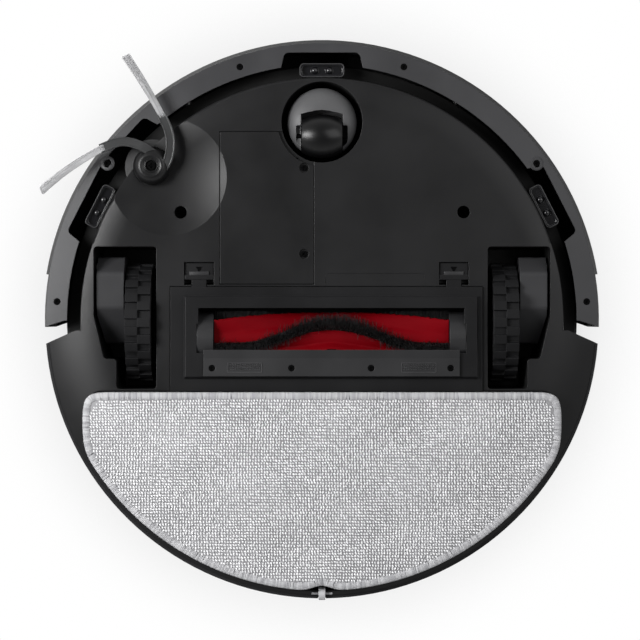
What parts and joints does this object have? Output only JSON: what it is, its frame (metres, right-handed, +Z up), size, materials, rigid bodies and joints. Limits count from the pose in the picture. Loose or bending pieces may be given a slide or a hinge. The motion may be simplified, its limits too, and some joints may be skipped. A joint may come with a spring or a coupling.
{
  "type": "robot vacuum",
  "caption": "Round robot vacuum with a sprung front bumper, drive wheels, caster, side brush, covered main brush, lifting mop pad, rear dust drawer and laser turret.",
  "frame": {"origin": "centre of the round body, on the floor it stands on", "axes": "+Z up, +Y towards the mop and dust drawer at the rear, bumper towards -Y"},
  "size_m": [0.3455, 0.3463, 0.099],
  "materials": {
    "shell_black": "fine moulded texture",
    "deck_black": "satin moulded",
    "bumper_grey": "fine moulded texture",
    "skirt_black": "satin moulded",
    "turret_plastic": "gloss",
    "rotor_plastic": "gloss",
    "button_plastic": "satin",
    "gearbox_plastic": "moulded",
    "tyre_rubber": "matt rubber",
    "caster_grey": "satin",
    "caster_black": "satin rubber",
    "smoke_rubber": "smoky soft rubber",
    "pale_bristle": "fine filament",
    "red_rubber": "soft rubber",
    "black_bristle": "fine filament",
    "cover_black": "fine moulded texture",
    "comb_black": "satin",
    "pulley_white": "moulded",
    "belt_rubber": "rubber",
    "steel": "plain steel",
    "screw_black": "black oxide",
    "contact_metal": "plated",
    "battery_wrap": "film wrap",
    "board_green": "lacquer",
    "switch_black": "moulded",
    "filter_paper": "pleated paper",
    "mop_fabric": "waffle-knit microfibre",
    "roller_grey": "moulded"
  },
  "bodies": {
    "chassis": {"chassis": "shell_black", "top_deck": "deck_black", "rear_skirt": "skirt_black", "charge_contacts": "contact_metal", "turret_housing": "turret_plastic", "lidar_motor": "steel", "lidar_belt": "belt_rubber", "battery_cover": "shell_black", "battery_pack": "battery_wrap", "underside_screws": "screw_black", "cliff_sensors": "rotor_plastic", "bumper_switches": "switch_black", "bumper_guides": "steel", "suspension_pins": "steel", "left_wheel_spring": "steel", "right_wheel_spring": "steel", "side_brush_motor": "steel", "brush_motor": "steel", "brush_belt": "belt_rubber", "brush_bearings": "shell_black", "main_board": "board_green", "fan_housing": "shell_black", "suction_duct": "shell_black", "mop_lift_motor": "steel", "rear_roller_pin": "steel"},
    "bumper": {"bumper": "bumper_grey", "bumper_screws": "screw_black", "front_window": "rotor_plastic"},
    "left_drive": {"left_drive_arm": "gearbox_plastic"},
    "left_wheel": {"left_wheel_hub": "gearbox_plastic", "left_tyre": "tyre_rubber"},
    "right_drive": {"right_drive_arm": "gearbox_plastic"},
    "right_wheel": {"right_wheel_hub": "gearbox_plastic", "right_tyre": "tyre_rubber"},
    "caster": {"caster_fork": "caster_grey", "caster_axle": "steel"},
    "caster_roller": {"caster_wheel": "caster_black"},
    "side_brush": {"side_brush_hub": "smoke_rubber", "side_brush_tufts": "pale_bristle", "side_brush_screw": "screw_black"},
    "main_brush": {"main_brush": "red_rubber", "main_brush_bristles": "black_bristle", "brush_pulley": "pulley_white"},
    "brush_motor_rotor": {"brush_motor_pulley": "pulley_white"},
    "brush_cover": {"brush_cover": "cover_black", "brush_comb": "comb_black", "comb_screws": "screw_black"},
    "left_latch": {"left_cover_latch": "cover_black"},
    "right_latch": {"right_cover_latch": "cover_black"},
    "mop": {"mop_plate": "shell_black", "mop_pad": "mop_fabric"},
    "rear_roller": {"rear_roller": "roller_grey"},
    "dust_tank": {"dust_tank": "skirt_black", "tank_filter": "filter_paper"},
    "tank_button": {"tank_button": "button_plastic"},
    "lidar": {"lidar_rotor": "rotor_plastic"},
    "lidar_drive": {"lidar_motor_pulley": "pulley_white"},
    "fan": {"fan_impeller": "pulley_white"},
    "power_button": {"power_button": "button_plastic"},
    "home_button": {"home_button": "button_plastic"}
  },
  "joints": [
    {"name": "bumper_press", "type": "slide", "parent": "chassis", "child": "bumper", "axis": [0, 1, 0], "range_m": [0, 0.0035], "stiffness_N_per_m": 500, "springref_m": -0.003},
    {"name": "caster_swivel", "type": "hinge", "parent": "chassis", "child": "caster", "pos_m": [0, -0.1215, 0.05], "axis": [0, 0, 1], "continuous": true},
    {"name": "caster_roll", "type": "hinge", "parent": "caster", "child": "caster_roller", "pos_m": [0, -0.113, 0.0135], "axis": [1, 0, 0], "continuous": true},
    {"name": "side_brush_spin", "type": "hinge", "parent": "chassis", "child": "side_brush", "pos_m": [-0.1048, -0.0943, 0.0085], "axis": [0, 0, 1], "continuous": true},
    {"name": "main_brush_spin", "type": "hinge", "parent": "chassis", "child": "main_brush", "pos_m": [0.0059, 0.0118, 0.0205], "axis": [1, 0, 0], "continuous": true},
    {"name": "brush_motor_spin", "type": "hinge", "parent": "chassis", "child": "brush_motor_rotor", "pos_m": [-0.0855, 0.0118, 0.058], "axis": [1, 0, 0], "continuous": true},
    {"name": "brush_cover_release", "type": "slide", "parent": "chassis", "child": "brush_cover", "axis": [0, 0, -1], "range_m": [0, 0.03]},
    {"name": "left_latch_slide", "type": "slide", "parent": "brush_cover", "child": "left_latch", "axis": [0, 1, 0], "range_m": [0, 0.0025], "stiffness_N_per_m": 300, "springref_m": -0.002},
    {"name": "right_latch_slide", "type": "slide", "parent": "brush_cover", "child": "right_latch", "axis": [0, 1, 0], "range_m": [0, 0.0025], "stiffness_N_per_m": 300, "springref_m": -0.002},
    {"name": "mop_lift", "type": "slide", "parent": "chassis", "child": "mop", "axis": [0, 0, 1], "range_m": [0, 0.0045]},
    {"name": "rear_roller_spin", "type": "hinge", "parent": "chassis", "child": "rear_roller", "pos_m": [0, 0.1688, 0.0094], "axis": [1, 0, 0], "continuous": true},
    {"name": "tank_slide", "type": "slide", "parent": "chassis", "child": "dust_tank", "axis": [0, 1, 0], "range_m": [0, 0.09]},
    {"name": "tank_button_press", "type": "slide", "parent": "dust_tank", "child": "tank_button", "axis": [0, -1, 0], "range_m": [0, 0.0015], "stiffness_N_per_m": 300, "springref_m": -0.002},
    {"name": "lidar_spin", "type": "hinge", "parent": "chassis", "child": "lidar", "pos_m": [0, 0.038, 0.09], "axis": [0, 0, 1], "continuous": true},
    {"name": "lidar_motor_spin", "type": "hinge", "parent": "chassis", "child": "lidar_drive", "pos_m": [-0.04, 0.038, 0.076], "axis": [0, 0, 1], "continuous": true},
    {"name": "fan_spin", "type": "hinge", "parent": "chassis", "child": "fan", "pos_m": [0.063, 0.1, 0.037], "axis": [1, 0, 0], "continuous": true},
    {"name": "power_button_press", "type": "slide", "parent": "chassis", "child": "power_button", "axis": [0, 0, -1], "range_m": [0, 0.0012], "stiffness_N_per_m": 300, "springref_m": -0.002},
    {"name": "home_button_press", "type": "slide", "parent": "chassis", "child": "home_button", "axis": [0, 0, -1], "range_m": [0, 0.0012], "stiffness_N_per_m": 300, "springref_m": -0.002},
    {"name": "left_suspension", "type": "hinge", "parent": "chassis", "child": "left_drive", "pos_m": [-0.1307, -0.033, 0.03], "axis": [-1, 0, 0], "range_deg": [0, 16], "stiffness_Nm_per_rad": 0.12, "springref_deg": 68.75, "deforming": ["left_wheel_spring"]},
    {"name": "left_wheel_spin", "type": "hinge", "parent": "left_drive", "child": "left_wheel", "pos_m": [-0.1132, 0.002, 0.037], "axis": [1, 0, 0], "continuous": true},
    {"name": "right_suspension", "type": "hinge", "parent": "chassis", "child": "right_drive", "pos_m": [0.1307, -0.033, 0.03], "axis": [-1, 0, 0], "range_deg": [0, 16], "stiffness_Nm_per_rad": 0.12, "springref_deg": 68.75, "deforming": ["right_wheel_spring"]},
    {"name": "right_wheel_spin", "type": "hinge", "parent": "right_drive", "child": "right_wheel", "pos_m": [0.1132, 0.002, 0.037], "axis": [1, 0, 0], "continuous": true}
  ],
  "couplings": [
    {"joint": "brush_motor_spin", "follows": "main_brush_spin", "ratio": 1.4444},
    {"joint": "lidar_motor_spin", "follows": "lidar_spin", "ratio": 3}
  ]
}
